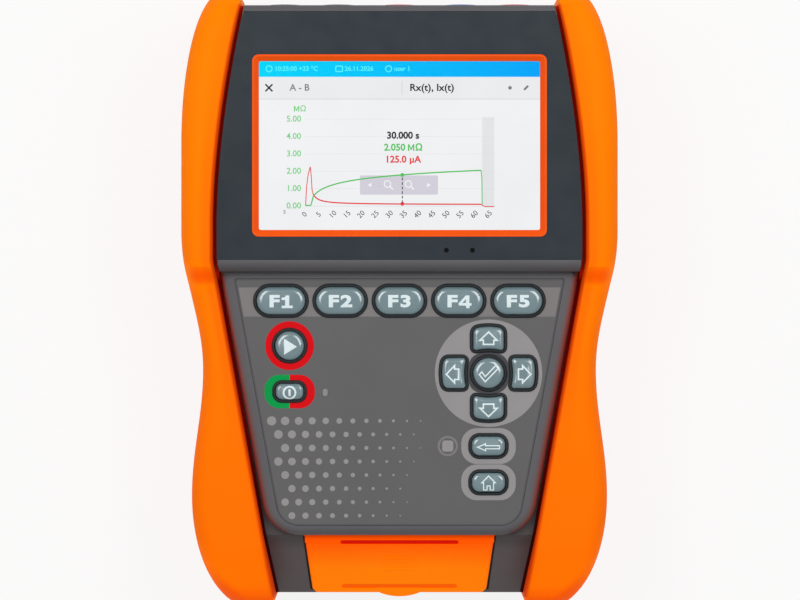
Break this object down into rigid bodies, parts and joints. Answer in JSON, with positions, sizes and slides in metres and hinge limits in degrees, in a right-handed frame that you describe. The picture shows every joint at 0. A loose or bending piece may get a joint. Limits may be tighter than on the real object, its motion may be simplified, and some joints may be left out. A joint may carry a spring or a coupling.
{
  "type": "insulation resistance tester",
  "caption": "Hand-held insulation resistance tester with a touch display, sprung keys, five test sockets, orange side bumpers and a hinged port flap.",
  "frame": {"origin": "middle of the footprint on the resting plane under the bumpers", "axes": "+X to the right seen from the front, +Y towards the test sockets, +Z out of the display"},
  "size_m": [0.168, 0.241, 0.0775],
  "materials": {
    "bumper_rubber": "soft satin orange moulding",
    "front_grey": "fine satin grain",
    "rear_grey": "fine satin grain",
    "black_rubber": "matt black",
    "bezel_dark": "satin dark blue-black",
    "frame_red_orange": "satin",
    "black_plastic": "satin black",
    "display_glass": "clear",
    "display_white": "lit screen",
    "overlay_grey": "printed film",
    "key_grey": "satin blue-grey",
    "lens_clear": "translucent",
    "collar_black": "satin",
    "collar_red": "satin",
    "collar_blue": "satin",
    "brass": "turned",
    "steel": "plated",
    "board_green": "solder mask",
    "chip_black": "moulded",
    "ferrite": "matt",
    "winding": "enamelled wire",
    "cell_blue": "heat-shrink sleeve"
  },
  "bodies": {
    "housing": {"rear_casing": "rear_grey", "front_casing": "front_grey", "case_seal": "black_rubber", "left_bumper": "bumper_rubber", "right_bumper": "bumper_rubber", "display_bezel": "bezel_dark", "display_frame": "frame_red_orange", "sensor_windows": "black_plastic", "touch_glass": "display_glass", "display_module": "display_white", "display_bracket": "steel", "keypad_overlay": "overlay_grey", "keypad_mat": "black_rubber", "keypad_board": "board_green", "contact_pads": "brass", "power_led": "lens_clear", "socket_panel": "black_plastic", "socket_1": "collar_black", "socket_2": "collar_black", "socket_3": "collar_red", "socket_4": "collar_blue", "socket_5": "collar_red", "socket_contacts": "brass", "socket_nuts": "steel", "usb_socket": "steel", "charger_socket": "black_plastic", "port_board": "board_green", "main_board": "board_green", "board_chips": "chip_black", "hv_transformer": "ferrite", "hv_winding": "winding", "hv_relays": "chip_black", "buzzer": "black_plastic", "battery_pack": "cell_blue", "battery_cover": "rear_grey", "cover_screws": "steel", "case_screws": "steel", "board_screws": "steel"},
    "port_flap": {"usb_flap": "bumper_rubber"},
    "key_f1": {"key_f1": "key_grey"},
    "key_f2": {"key_f2": "key_grey"},
    "key_f3": {"key_f3": "key_grey"},
    "key_f4": {"key_f4": "key_grey"},
    "key_f5": {"key_f5": "key_grey"},
    "key_start": {"key_start": "key_grey"},
    "key_power": {"key_power": "key_grey"},
    "key_up": {"key_up": "key_grey"},
    "key_left": {"key_left": "key_grey"},
    "key_down": {"key_down": "key_grey"},
    "key_right": {"key_right": "key_grey"},
    "key_enter": {"key_enter": "key_grey"},
    "key_back": {"key_back": "key_grey"},
    "key_home": {"key_home": "key_grey"}
  },
  "joints": [
    {"name": "key_f1_press", "type": "slide", "parent": "housing", "child": "key_f1", "axis": [0, 0, -1], "range_m": [0, 0.0012], "stiffness_N_per_m": 900},
    {"name": "key_f2_press", "type": "slide", "parent": "housing", "child": "key_f2", "axis": [0, 0, -1], "range_m": [0, 0.0012], "stiffness_N_per_m": 900},
    {"name": "key_f3_press", "type": "slide", "parent": "housing", "child": "key_f3", "axis": [0, 0, -1], "range_m": [0, 0.0012], "stiffness_N_per_m": 900},
    {"name": "key_f4_press", "type": "slide", "parent": "housing", "child": "key_f4", "axis": [0, 0, -1], "range_m": [0, 0.0012], "stiffness_N_per_m": 900},
    {"name": "key_f5_press", "type": "slide", "parent": "housing", "child": "key_f5", "axis": [0, 0, -1], "range_m": [0, 0.0012], "stiffness_N_per_m": 900},
    {"name": "key_start_press", "type": "slide", "parent": "housing", "child": "key_start", "axis": [0, 0, -1], "range_m": [0, 0.0012], "stiffness_N_per_m": 900},
    {"name": "key_power_press", "type": "slide", "parent": "housing", "child": "key_power", "axis": [0, 0, -1], "range_m": [0, 0.0012], "stiffness_N_per_m": 900},
    {"name": "key_up_press", "type": "slide", "parent": "housing", "child": "key_up", "axis": [0, 0, -1], "range_m": [0, 0.0012], "stiffness_N_per_m": 900},
    {"name": "key_left_press", "type": "slide", "parent": "housing", "child": "key_left", "axis": [0, 0, -1], "range_m": [0, 0.0012], "stiffness_N_per_m": 900},
    {"name": "key_down_press", "type": "slide", "parent": "housing", "child": "key_down", "axis": [0, 0, -1], "range_m": [0, 0.0012], "stiffness_N_per_m": 900},
    {"name": "key_right_press", "type": "slide", "parent": "housing", "child": "key_right", "axis": [0, 0, -1], "range_m": [0, 0.0012], "stiffness_N_per_m": 900},
    {"name": "key_enter_press", "type": "slide", "parent": "housing", "child": "key_enter", "axis": [0, 0, -1], "range_m": [0, 0.0012], "stiffness_N_per_m": 900},
    {"name": "key_back_press", "type": "slide", "parent": "housing", "child": "key_back", "axis": [0, 0, -1], "range_m": [0, 0.0012], "stiffness_N_per_m": 900},
    {"name": "key_home_press", "type": "slide", "parent": "housing", "child": "key_home", "axis": [0, 0, -1], "range_m": [0, 0.0012], "stiffness_N_per_m": 900},
    {"name": "port_flap_hinge", "type": "hinge", "parent": "housing", "child": "port_flap", "pos_m": [0, -0.09126, 0.05752], "axis": [-1, 0, 0], "range_deg": [0, 75]}
  ]
}
